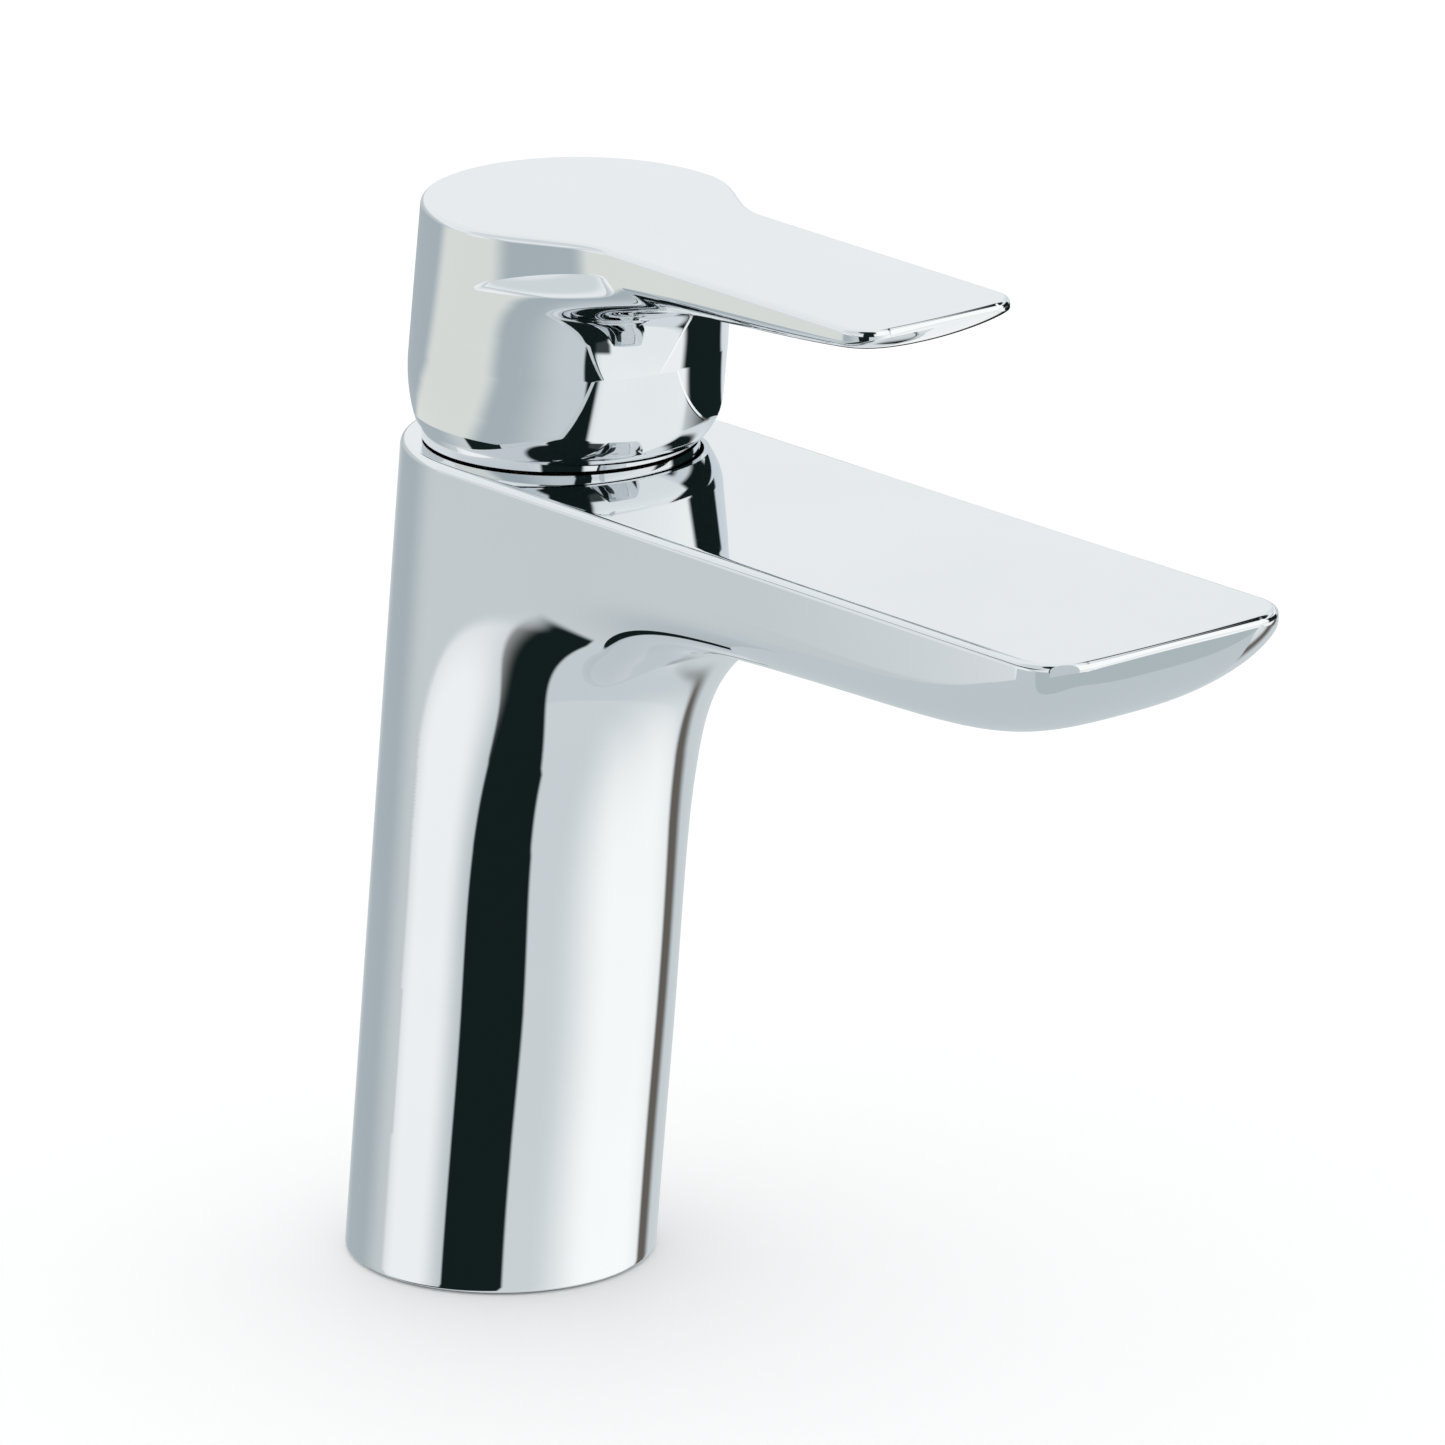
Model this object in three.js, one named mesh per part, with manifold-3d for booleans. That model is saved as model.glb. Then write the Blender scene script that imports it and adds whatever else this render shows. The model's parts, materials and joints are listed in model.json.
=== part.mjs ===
/**
 * Single-lever basin mixer: a leaning chrome column that runs forward into a flat spout, with a cup-shaped
 * handle over a 35 mm ceramic-disc cartridge and a recessed aerator under the spout's tip.
 *
 * Millimetres, +Z up. The origin is the centre of the base on the deck, and the spout points towards -Y.
 * "fwd" below is the distance towards the spout's tip, so y = -fwd.
 */
import * as THREE from 'three';
import { mergeVertices } from 'three/addons/utils/BufferGeometryUtils.js';
import Module from 'manifold-3d';

const wasm = await Module();
wasm.setup();

// ---- Driving dimensions -------------------------------------------------------------------------------

const GAP = 0.3; // clearance between neighbouring pieces
const LEAN = 0.112; // forward shift of the column per millimetre of height
const COLUMN_R = 24;
const SPOUT_TOP_Z = 132.6;
const SPOUT_TIP = 152;
const TIP_CORNER_R = 7.5;
const SPOUT_FULLNESS = 2.8; // squareness of the spout's rounded underside, 2 being elliptic
const FULL_FROM_FWD = 30; // the underside reaches that squareness here
const TIP_BOW = 0.5; // how far the middle of the tip edge stands in front of its ends
const BEND_START_Z = 72; // the column is a plain leaning cylinder below this height
const AXIS_FWD = LEAN * SPOUT_TOP_Z; // the cartridge stands upright under the middle of the round back

const CAVITY_R = 20; // hollow foot of the column, where the hoses come up
const CAVITY_TOP_Z = 80;
const CEILING_STEP = 2; // the cavity's top is upright for this height, so that its ceiling can be spot-faced
const INLET_X = 9.5;
const INLET_SOCKET_R = 5.2;
const INLET_SOCKET_TOP_Z = 92;
const STUD_FWD = 10;
const STUD_HOLE_R = 3.9;

const BORE_R = 17.8; // cartridge bore
const BORE_FLOOR_Z = 102.6;
const PORT_X = 6.5; // the cartridge's inlet ports
const PORT_FWD = -4.5; // behind the cartridge's axis
const PORT_R = 2.9;
const OUTLET_FWD = 7.5; // the cartridge's outlet port, ahead of its axis
const WATERWAY_Z = 121.4;
const WATERWAY_R = 3.2;
const CHAMBER_HALF_WIDTH = 17; // the cored hollow inside the spout

const PIVOT_Z = SPOUT_TOP_Z + 4; // the lever's hinge line
const SPINDLE_ARM = 16.4; // from the hinge line down to the middle of the spindle's ball
const DISC_REST = -2.2; // where the moving disc's middle stands, from the cartridge's axis, when shut
const SHROUD_R = 21.2; // outside of the fixed dome, a sphere about the hinge
const SHROUD_TOP_Z = 146;

const CUP_LEAN = 0.13;
const CUP_R = 23.9;
const CUP_RIM_R = 22.3;
const CUP_CAVITY_R = 21.6;
const CUP_STRAIGHT_Z = 148; // the lever starts to grow out of the cup above this height
const ROUND_FRONT = 4; // height of the rounding above the rim, at the front and at the back
const ROUND_BACK = 11;
const RIM_FRONT_Z = 134;
const RIM_SLOPE = 0.07; // the rim rises towards the back
const RIM_RELIEF = 2; // further rise at the very back, so the cup can tip
const HANDLE_TOP_Z = 170.6; // height of the top plane at fwd = 0
const HANDLE_FALL = 0.01; // drop of the top plane per millimetre forward
const LEVER_HALF_WIDTH = 15.4;
const LEVER_TIP = 101.8;
const LEVER_CORNER_R = 5;

const AERATOR_FWD = 124;
const SOCKET_R = 9.3;
const SOCKET_TOP_Z = 123.4;

// Matching pairs of points, each [fwd, z]: the edge of the flat side, and the middle of the underside.
const SPOUT_SKIN = [
  { side: [8.1, 72], keel: [32.1, 72] },
  { side: [10.8, 93], keel: [36.7, 88] },
  { side: [17, 106.6], keel: [42.6, 98.6] },
  { side: [26.9, 114], keel: [50.6, 106] },
  { side: [41.1, 118.8], keel: [61.6, 110.8] },
  { side: [68, 122.9], keel: [77, 113.4] },
  { side: [100, 124.3], keel: [102, 114.6] },
  { side: [122.8, 124.9], keel: [123, 115.4] },
  { side: [133, 126.4], keel: [133, 116.6] },
  { side: [140, 128.6], keel: [140, 118.6] },
  { side: [145.6, 130.7], keel: [145.6, 122.4] },
  { side: [149.5, 131.6], keel: [149.6, 127.2] },
  { side: [151.5, 131.9], keel: [152, 131.6] },
];
const LEVER_SKIN = [
  { side: [16.9, 148], keel: [40.8, 148] },
  { side: [17.6, 154], keel: [41.5, 153.6] },
  { side: [21, 160], keel: [43.8, 157.6] },
  { side: [28, 163.6], keel: [48, 159.6] },
  { side: [36, 165.3], keel: [54, 160.4] },
  { side: [46, 166.2], keel: [61, 160.9] },
  { side: [70, 166.7], keel: [74, 162] },
  { side: [88, 167.2], keel: [89, 163.6] },
  { side: [96.6, 167.8], keel: [97, 165] },
  { side: [100, 168.4], keel: [100.4, 166.8] },
  { side: [101.4, 168.9], keel: [101.8, 168.6] },
];

// ---- Materials ----------------------------------------------------------------------------------------

function finish(color, roughness, metalness) {
  return new THREE.MeshStandardMaterial({ color, roughness, metalness });
}

const chrome = finish(0xdfe3e6, 0.04, 1);
const brass = finish(0xc9a24b, 0.35, 1);
const steel = finish(0xb9bcbf, 0.3, 1);
const ceramic = finish(0xf1efe9, 0.25, 0);
const whitePlastic = finish(0xe8e6df, 0.5, 0);
const greyPlastic = finish(0x8b9096, 0.5, 0);
const redPlastic = finish(0xb8322a, 0.45, 0);
const rubber = finish(0x1c1c1e, 0.8, 0);

// ---- Geometry helpers ---------------------------------------------------------------------------------

/** A manifold-3d solid with the shape of a closed geometry. */
function toSolid(geometry) {
  const bare = geometry.clone();
  bare.deleteAttribute('normal');
  bare.deleteAttribute('uv');
  const merged = mergeVertices(bare, 1e-4);
  const index = merged.index.array;
  const kept = [];
  for (let i = 0; i < index.length; i += 3) {
    const [a, b, c] = [index[i], index[i + 1], index[i + 2]];
    if (a !== b && b !== c && c !== a) kept.push(a, b, c);
  }
  const mesh = new wasm.Mesh({
    numProp: 3,
    vertProperties: new Float32Array(merged.attributes.position.array),
    triVerts: new Uint32Array(kept),
  });
  return new wasm.Manifold(mesh);
}

/** The geometry of a manifold-3d solid. */
function toGeometry(solid) {
  const mesh = solid.getMesh();
  const geometry = new THREE.BufferGeometry();
  geometry.setAttribute('position', new THREE.BufferAttribute(mesh.vertProperties, 3));
  geometry.setIndex(new THREE.BufferAttribute(mesh.triVerts, 1));
  geometry.computeVertexNormals();
  return geometry;
}

/** A geometry with a list of other geometries cut out of it. */
function cut(geometry, tools) {
  let solid = toSolid(geometry);
  for (const tool of tools) solid = solid.subtract(toSolid(tool));
  return toGeometry(solid);
}

/** Several overlapping geometries joined into one. */
function join(geometries) {
  let solid = toSolid(geometries[0]);
  for (const other of geometries.slice(1)) solid = solid.add(toSolid(other));
  return toGeometry(solid);
}

/** An upright cylinder between two heights. */
function drum(radius, bottom, top, x = 0, fwd = 0, segments = 32) {
  return new THREE.CylinderGeometry(radius, radius, top - bottom, segments)
    .rotateX(Math.PI / 2)
    .translate(x, -fwd, (bottom + top) / 2);
}

/** A solid of revolution about Z through [radius, z] points, counted anticlockwise. */
function turned(profile, segments = 32) {
  const points = profile.map(([r, z]) => new THREE.Vector2(r, z));
  return new THREE.LatheGeometry(points, segments).rotateX(Math.PI / 2);
}

/** A ring of rectangular section. */
function ring(inner, outer, bottom, top, segments = 32) {
  return turned([[inner, bottom], [outer, bottom], [outer, top], [inner, top], [inner, bottom]], segments);
}

/** A round bar from one point to another, each [x, fwd, z]. */
function bar(from, to, radius, segments = 20) {
  const start = new THREE.Vector3(from[0], -from[1], from[2]);
  const end = new THREE.Vector3(to[0], -to[1], to[2]);
  const along = end.clone().sub(start);
  const upright = new THREE.Vector3(0, 1, 0);
  const turn = new THREE.Quaternion().setFromUnitVectors(upright, along.clone().normalize());
  return new THREE.CylinderGeometry(radius, radius, along.length(), segments)
    .applyQuaternion(turn)
    .translate((start.x + end.x) / 2, (start.y + end.y) / 2, (start.z + end.z) / 2);
}

/** A block between two corners, each [x, fwd, z]. */
function block([x0, fwd0, z0], [x1, fwd1, z1]) {
  return new THREE.BoxGeometry(x1 - x0, fwd1 - fwd0, z1 - z0)
    .translate((x0 + x1) / 2, -(fwd0 + fwd1) / 2, (z0 + z1) / 2);
}

/** A geometry sheared forward by a slope. */
function leaned(geometry, slope) {
  return geometry.applyMatrix4(new THREE.Matrix4().set(1, 0, 0, 0, 0, 1, -slope, 0, 0, 0, 1, 0, 0, 0, 0, 1));
}

// ---- Skins --------------------------------------------------------------------------------------------

const ARC_STEPS = 16;

/** Angles across a half ring, from the left edge to the right one. */
function arcAngles() {
  return Array.from({ length: ARC_STEPS + 1 }, (_, i) => Math.PI * (i / ARC_STEPS - 0.5));
}

/**
 * One closed ring: an arc under or in front, left to right, then the points behind or above.
 * A fullness of 2 makes the arc elliptic, and more makes its shoulders squarer.
 */
function skinRing(halfWidth, side, keel, fullness, backPoint) {
  const angles = arcAngles();
  const front = angles.map((angle) => {
    const across = Math.sign(angle) * Math.abs(Math.sin(angle)) ** (2 / fullness);
    const middle = Math.max(0, Math.cos(angle)) ** (2 / fullness);
    const fwd = THREE.MathUtils.lerp(side.x, keel.x, middle);
    const z = THREE.MathUtils.lerp(side.y, keel.y, middle);
    return new THREE.Vector3(halfWidth * across, -fwd, z);
  });
  return front.concat(angles.reverse().map(backPoint));
}

/** A closed solid through rings from skinRing; both ends are filled straight across. */
function loft(rings) {
  const count = rings[0].length;
  const half = count / 2;
  const points = rings.flat();
  const index = [];
  for (let r = 0; r + 1 < rings.length; r++) {
    for (let k = 0; k < count; k++) {
      const a = r * count + k;
      const b = r * count + ((k + 1) % count);
      index.push(a, b, b + count, a, b + count, a + count);
    }
  }
  const last = (rings.length - 1) * count;
  for (let k = 0; k + 1 < half; k++) {
    const [a, b, c, d] = [k, k + 1, count - 2 - k, count - 1 - k];
    index.push(a, c, b, a, d, c);
    index.push(last + a, last + b, last + c, last + a, last + c, last + d);
  }
  const geometry = new THREE.BufferGeometry().setFromPoints(points);
  geometry.setIndex(index);
  return geometry;
}

/** Curves along the flat side's edge and the middle of the underside, sampled at matching places. */
function skinCurves(skin) {
  const curve = (key) => new THREE.SplineCurve(skin.map((pair) => new THREE.Vector2(...pair[key])));
  return { side: curve('side'), keel: curve('keel') };
}

/** Half width of a plan outline that ends in rounded corners. */
function roundedEnd(fwd, halfWidth, end, radius) {
  const into = Math.max(0, fwd - (end - radius));
  return halfWidth - radius + Math.sqrt(Math.max(0, radius * radius - into * into));
}

/** Back half of a horizontal circle, centred at a distance forward. */
function backArc(radius, centre, z) {
  return (angle) => new THREE.Vector3(radius * Math.sin(angle), radius * Math.cos(angle) - centre, z);
}

/** The column and the spout as one outer skin. */
function bodySkin() {
  const { side, keel } = skinCurves(SPOUT_SKIN);
  const circle = (z) => {
    const centre = new THREE.Vector2(LEAN * z, z);
    const front = new THREE.Vector2(LEAN * z + COLUMN_R, z);
    return skinRing(COLUMN_R, centre, front, 2, backArc(COLUMN_R, LEAN * z, z));
  };
  const rings = [circle(0), circle(BEND_START_Z)];
  const rimSteps = 2; // rings while the back climbs from the bend's start to the flat top
  const spanSteps = 2;
  const total = (SPOUT_SKIN.length - 1) * spanSteps;
  for (let i = 1; i <= total; i++) {
    const edge = side.getPoint(i / total);
    const under = keel.getPoint(i / total);
    const filled = THREE.MathUtils.smoothstep(edge.x, LEAN * BEND_START_Z, FULL_FROM_FWD);
    const fullness = THREE.MathUtils.lerp(2, SPOUT_FULLNESS, filled);
    if (i <= rimSteps) {
      const z = THREE.MathUtils.lerp(BEND_START_Z, SPOUT_TOP_Z, i / rimSteps);
      rings.push(skinRing(COLUMN_R, edge, under, fullness, backArc(COLUMN_R, LEAN * z, z)));
    }
    if (i >= rimSteps) {
      const end = SPOUT_TIP - TIP_BOW;
      const topFwd = THREE.MathUtils.clamp(edge.x, AXIS_FWD, end);
      const halfWidth = roundedEnd(topFwd, COLUMN_R, end, TIP_CORNER_R);
      const bow = TIP_BOW * THREE.MathUtils.smoothstep(topFwd, end - TIP_CORNER_R, end);
      const topLine = (angle) =>
        new THREE.Vector3(halfWidth * Math.sin(angle), -(topFwd + bow * Math.cos(angle)), SPOUT_TOP_Z);
      rings.push(skinRing(halfWidth, edge, under, fullness, topLine));
    }
  }
  return loft(rings);
}

/** Half width of the handle in plan: a round disc that sweeps in to the lever. */
function handleHalfWidth(fwd, discCentre) {
  const sweepStart = discCentre + 2;
  const sweepEnd = discCentre + 24;
  const blend = THREE.MathUtils.smoothstep(fwd, sweepStart, sweepEnd);
  const width = THREE.MathUtils.lerp(CUP_R, LEVER_HALF_WIDTH, blend);
  return roundedEnd(fwd, width, LEVER_TIP - 0.4, LEVER_CORNER_R);
}

/** A point of the cup's rounded lower edge: its rim is slanted, and relieved further at the very back. */
function cupEdgePoint(angleFromFront, hand, up, cupCentre) {
  const back = (1 - Math.cos(angleFromFront)) / 2;
  const slant = RIM_FRONT_Z + 2 * CUP_RIM_R * RIM_SLOPE * back;
  const relief = RIM_RELIEF * THREE.MathUtils.smoothstep(back, 0.82, 1);
  const rounding = THREE.MathUtils.lerp(ROUND_FRONT, ROUND_BACK, back);
  const z = THREE.MathUtils.lerp(slant + relief, slant + rounding, up);
  const above = (z - slant) / rounding;
  const radius = CUP_R - (CUP_R - CUP_RIM_R) * (1 - above) ** 2;
  const fwd = cupCentre(z) + radius * Math.cos(angleFromFront);
  return new THREE.Vector3(hand * radius * Math.sin(angleFromFront), -fwd, z);
}

/** The cup and the lever as one outer skin. */
function handleSkin() {
  const { side, keel } = skinCurves(LEVER_SKIN);
  const cupCentre = (z) => AXIS_FWD + CUP_LEAN * (z - SPOUT_TOP_Z);
  const topZ = (fwd) => HANDLE_TOP_Z - HANDLE_FALL * fwd;
  const rings = [];
  const roundSteps = 4;
  for (let i = 0; i <= roundSteps; i++) {
    const edgePoint = (angle, turn) => cupEdgePoint(turn, Math.sign(angle), i / roundSteps, cupCentre);
    const angles = arcAngles();
    const front = angles.map((angle) => edgePoint(angle, Math.abs(angle)));
    const behind = angles.reverse().map((angle) => edgePoint(angle, Math.PI - Math.abs(angle)));
    rings.push(front.concat(behind));
  }
  const rimSteps = 2;
  const spanSteps = 2;
  const total = (LEVER_SKIN.length - 1) * spanSteps;
  const discCentre = cupCentre(HANDLE_TOP_Z);
  for (let i = 0; i <= total; i++) {
    const edge = side.getPoint(i / total);
    const under = keel.getPoint(i / total);
    if (i <= rimSteps) {
      const height = THREE.MathUtils.lerp(CUP_STRAIGHT_Z, HANDLE_TOP_Z, i / rimSteps);
      const back = (angle) => {
        const fwd = cupCentre(height) - CUP_R * Math.cos(angle);
        const drop = i === rimSteps ? HANDLE_FALL * fwd : 0;
        return new THREE.Vector3(CUP_R * Math.sin(angle), -fwd, height - drop);
      };
      rings.push(skinRing(CUP_R, edge, under, 2, back));
    }
    if (i >= rimSteps) {
      const topFwd = Math.max(edge.x, discCentre);
      const halfWidth = handleHalfWidth(topFwd, discCentre);
      const bow = 0.4 * THREE.MathUtils.smoothstep(topFwd, LEVER_TIP - LEVER_CORNER_R, LEVER_TIP - 0.4);
      const topLine = (angle) => {
        const fwd = topFwd + bow * Math.cos(angle);
        return new THREE.Vector3(halfWidth * Math.sin(angle), -fwd, topZ(fwd));
      };
      rings.push(skinRing(halfWidth, edge, under, 2, topLine));
    }
  }
  return loft(rings);
}

// ---- Body, base and spout -----------------------------------------------------------------------------

function bodyCasting() {
  const portFwd = AXIS_FWD + PORT_FWD;
  const inletFwd = LEAN * INLET_SOCKET_TOP_Z;
  const cavity = leaned(drum(CAVITY_R, -1, CAVITY_TOP_Z - CEILING_STEP), LEAN);
  const ceiling = drum(CAVITY_R - 1, CAVITY_TOP_Z - CEILING_STEP - 1, CAVITY_TOP_Z, 0, LEAN * CAVITY_TOP_Z);
  const gasketGroove = ring(21, 23, -1, 1.7);
  const stud = drum(STUD_HOLE_R, CAVITY_TOP_Z - 1, INLET_SOCKET_TOP_Z, 0, STUD_FWD + LEAN * CAVITY_TOP_Z, 20);
  const bore = drum(BORE_R, BORE_FLOOR_Z, SPOUT_TOP_Z + 1, 0, AXIS_FWD, 48);
  const outletFace = AXIS_FWD + BORE_R;
  const gallery = block([-5, outletFace - 2, BORE_FLOOR_Z + 1], [5, outletFace + 2.6, WATERWAY_Z]);
  const waterway = bar([0, outletFace - 2, WATERWAY_Z], [0, AERATOR_FWD, WATERWAY_Z], WATERWAY_R);
  const chamberTop = SPOUT_TOP_Z - 4.4;
  const chamber = block([-CHAMBER_HALF_WIDTH, 40, WATERWAY_Z - 2.8], [CHAMBER_HALF_WIDTH, 110, chamberTop]);
  const socket = drum(SOCKET_R, 100, SOCKET_TOP_Z, 0, AERATOR_FWD);
  const tools = [cavity, ceiling, gasketGroove, stud, bore, gallery, waterway, chamber, socket];
  for (const hand of [-1, 1]) {
    const mouth = [hand * INLET_X, inletFwd, INLET_SOCKET_TOP_Z - 2];
    const port = [hand * PORT_X, portFwd, BORE_FLOOR_Z + 1];
    tools.push(drum(INLET_SOCKET_R, CAVITY_TOP_Z - 1, INLET_SOCKET_TOP_Z, mouth[0], inletFwd, 24));
    tools.push(bar(mouth, port, PORT_R, 16));
  }
  return cut(bodySkin(), tools);
}

function basePlate() {
  const holes = [-1, 1].map((hand) => drum(6, -1, 5, hand * INLET_X, 0, 24));
  return cut(drum(CAVITY_R - 0.4, 0, 3), [...holes, drum(4.3, -1, 5, 0, STUD_FWD + 1, 20)]);
}

function baseGasket() {
  return ring(21.25, 22.75, 0, 1.4);
}

// ---- Cartridge, about its own upright axis ------------------------------------------------------------

const FOOT_TOP_Z = 109;
const GASKET_Z = FOOT_TOP_Z + GAP;
const FIXED_DISC_Z = GASKET_Z + 1 + GAP;
const MOVING_DISC_Z = FIXED_DISC_Z + 3 + GAP;
const CARRIER_Z = MOVING_DISC_Z + 3 + GAP;
const TURRET_Z = CARRIER_Z + 3.4 + GAP;
const SHOULDER_Z = 127.5;
const HOUSING_TOP_Z = 134;
const NECK_R = 11;

/** The two inlet ports and the outlet port, as cutting tools between two heights. */
function portTools(bottom, top, radius = PORT_R) {
  const inlets = [-1, 1].map((hand) => drum(radius, bottom, top, hand * PORT_X, PORT_FWD, 16));
  return [...inlets, drum(radius, bottom, top, 0, OUTLET_FWD, 16)];
}

function cartridgeFoot() {
  const bottom = BORE_FLOOR_Z + GAP;
  const seats = [-1, 1].map((hand) => drum(5.1, bottom - 1, bottom + 1.8, hand * PORT_X, PORT_FWD, 24));
  const inlets = [-1, 1].map((hand) => drum(PORT_R, bottom - 1, FOOT_TOP_Z + 1, hand * PORT_X, PORT_FWD, 16));
  const outlet = drum(PORT_R, bottom + 2.6, FOOT_TOP_Z + 1, 0, OUTLET_FWD, 16);
  const spill = block([-PORT_R, OUTLET_FWD, bottom + 2.6], [PORT_R, 20, FOOT_TOP_Z - 1.4]);
  return cut(drum(17.3, bottom, FOOT_TOP_Z, 0, 0, 40), [...seats, ...inlets, outlet, spill]);
}

function inletSeal(hand) {
  const bottom = BORE_FLOOR_Z + GAP;
  return ring(3.2, 4.8, bottom, bottom + 1.5, 24).translate(hand * PORT_X, -PORT_FWD, 0);
}

function portGasket() {
  return cut(drum(13.5, GASKET_Z, GASKET_Z + 1), portTools(GASKET_Z - 1, GASKET_Z + 2));
}

function fixedDisc() {
  const top = FIXED_DISC_Z + 3;
  return cut(drum(14, FIXED_DISC_Z, top), portTools(FIXED_DISC_Z - 1, top + 1));
}

function movingDisc() {
  const chamber = drum(6.2, MOVING_DISC_Z - 1, MOVING_DISC_Z + 1.6, 0, DISC_REST + 1, 24);
  return cut(drum(10.6, MOVING_DISC_Z, MOVING_DISC_Z + 3, 0, DISC_REST), [chamber]);
}

function discCarrier() {
  const top = CARRIER_Z + 3.4;
  const slot = block([-2.3, -2.3, CARRIER_Z + 0.8], [2.3, 2.3, top + 1]);
  return cut(drum(10.6, CARRIER_Z, top, 0, DISC_REST), [slot]);
}

function cartridgeHousing() {
  const outside = [[17.3, GASKET_Z], [17.3, 124.6], [16.1, 124.6], [16.1, 126.6], [17.3, 126.6]];
  const top = [[17.3, SHOULDER_Z], [14, SHOULDER_Z], [14, HOUSING_TOP_Z], [11.4, HOUSING_TOP_Z]];
  const inside = [[11.4, 125], [15.7, 124], [15.7, GASKET_Z], [17.3, GASKET_Z]];
  return turned([...outside, ...top, ...inside]);
}

function housingOring() {
  return ring(16.35, 17.6, 124.9, 126.3);
}

function turret() {
  const flange = drum(15.3, TURRET_Z, 123.6, 0, 0, 36);
  const neck = drum(NECK_R, 123, PIVOT_Z + 4.6, 0, 0, 36);
  const slot = block([-4.4, -6.5, TURRET_Z - 1], [4.4, 9, PIVOT_Z + 6]);
  const pinHole = bar([-12, 0, PIVOT_Z], [12, 0, PIVOT_Z], 1.8, 16);
  return cut(join([flange, neck]), [slot, pinHole]);
}

function pivotPin() {
  return bar([-9.5, 0, PIVOT_Z], [9.5, 0, PIVOT_Z], 1.5, 16);
}

function spindle() {
  const square = block([-4, -4, PIVOT_Z - 5], [4, 4, 153]);
  const stem = drum(1.6, PIVOT_Z - SPINDLE_ARM, PIVOT_Z - 4, 0, 0, 16);
  const ball = new THREE.SphereGeometry(1.9, 16, 10).translate(0, 0, PIVOT_Z - SPINDLE_ARM);
  const eye = bar([-5, 0, PIVOT_Z], [5, 0, PIVOT_Z], 1.8, 16);
  return cut(join([square, stem, ball]), [eye]);
}

function limitRing() {
  const lug = block([-2.2, 11.6, HOUSING_TOP_Z + GAP], [2.2, 13.6, HOUSING_TOP_Z + 2.8]);
  return join([ring(11.4, 13.8, HOUSING_TOP_Z + GAP, HOUSING_TOP_Z + 1.8), lug]);
}

function retainingNut() {
  const flangeZ = SPOUT_TOP_Z + GAP;
  const thread = drum(17.5, SHOULDER_Z + GAP, flangeZ + 1, 0, 0, 40);
  const flange = drum(17.9, flangeZ, flangeZ + 2.6, 0, 0, 40);
  const hexagon = drum(17.4, flangeZ + 1, flangeZ + 5, 0, 0, 6);
  return cut(join([thread, flange, hexagon]), [drum(14.3, SHOULDER_Z, flangeZ + 6, 0, 0, 40)]);
}

/** Points on an arc of a circle about the hinge, between two heights. */
function domeArc(radius, fromZ, toZ, steps) {
  const start = Math.asin((fromZ - PIVOT_Z) / radius);
  const end = Math.asin((toZ - PIVOT_Z) / radius);
  return Array.from({ length: steps + 1 }, (_, i) => {
    const angle = THREE.MathUtils.lerp(start, end, i / steps);
    return [radius * Math.cos(angle), PIVOT_Z + radius * Math.sin(angle)];
  });
}

function shroud() {
  const outside = domeArc(SHROUD_R, SPOUT_TOP_Z + GAP, SHROUD_TOP_Z, 6);
  const inside = domeArc(SHROUD_R - 1.2, SHROUD_TOP_Z, SPOUT_TOP_Z + GAP, 3);
  return turned([...outside, ...inside, outside[0]], 48);
}

function shroudOring() {
  return new THREE.TorusGeometry(18.75, 0.6, 6, 28).translate(0, 0, SPOUT_TOP_Z + 1.6);
}

// ---- Handle, about the cartridge's axis for its hollow ------------------------------------------------

const GRUB_Z = 150;
const BOSS_R = 7.5;
const BOSS_BOTTOM_Z = 145;

function handle() {
  const sphere = new THREE.SphereGeometry(CUP_CAVITY_R, 36, 16).rotateX(Math.PI / 2);
  const hollow = join([
    sphere.translate(0, -AXIS_FWD, PIVOT_Z),
    drum(CUP_CAVITY_R, SPOUT_TOP_Z - 2, PIVOT_Z, 0, AXIS_FWD, 36),
  ]);
  const boss = drum(BOSS_R, BOSS_BOTTOM_Z, 165, 0, AXIS_FWD, 24);
  const room = cut(hollow, [boss]);
  const socket = block([-4.3, AXIS_FWD - 4.3, BOSS_BOTTOM_Z - 1], [4.3, AXIS_FWD + 4.3, 153.6]);
  const screwHole = bar([0, -12, GRUB_Z], [0, AXIS_FWD - 3, GRUB_Z], 2.8, 16);
  return cut(handleSkin(), [room, socket, screwHole]);
}

function grubScrew() {
  const from = AXIS_FWD - 4 - GAP - 4;
  const key = bar([0, from - 1, GRUB_Z], [0, from + 2, GRUB_Z], 1.4, 6);
  return cut(bar([0, from, GRUB_Z], [0, from + 4, GRUB_Z], 2.5, 16), [key]);
}

function indicatorPlug() {
  return bar([0, -6.1, GRUB_Z], [0, -3.6, GRUB_Z], 2.5, 16);
}

// ---- Aerator, about its own upright axis --------------------------------------------------------------

const AERATOR_Z = 116.4; // the mouth of the aerator

function aeratorHousing() {
  const top = AERATOR_Z + 6;
  const ledge = AERATOR_Z + 1;
  const outside = [[6.9, AERATOR_Z], [9, AERATOR_Z], [9, top]];
  return turned([...outside, [7.9, top], [7.9, ledge], [6.9, ledge], outside[0]]);
}

/** A thin disc with a middle hole and rings of holes. */
function sieve(radius, bottom, top, rings) {
  const holes = [];
  for (const { count, at, holeR } of rings) {
    for (let i = 0; i < count; i++) {
      const angle = (2 * Math.PI * i) / count;
      holes.push(drum(holeR, bottom - 1, top + 1, at * Math.cos(angle), at * Math.sin(angle), 6));
    }
  }
  return cut(drum(radius, bottom, top), holes);
}

function aeratorMesh() {
  const bottom = AERATOR_Z + 1 + GAP;
  const rings = [{ count: 6, at: 2.6, holeR: 0.8 }, { count: 12, at: 5.2, holeR: 0.8 }];
  return sieve(7.5, bottom, bottom + 0.5, rings);
}

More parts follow.
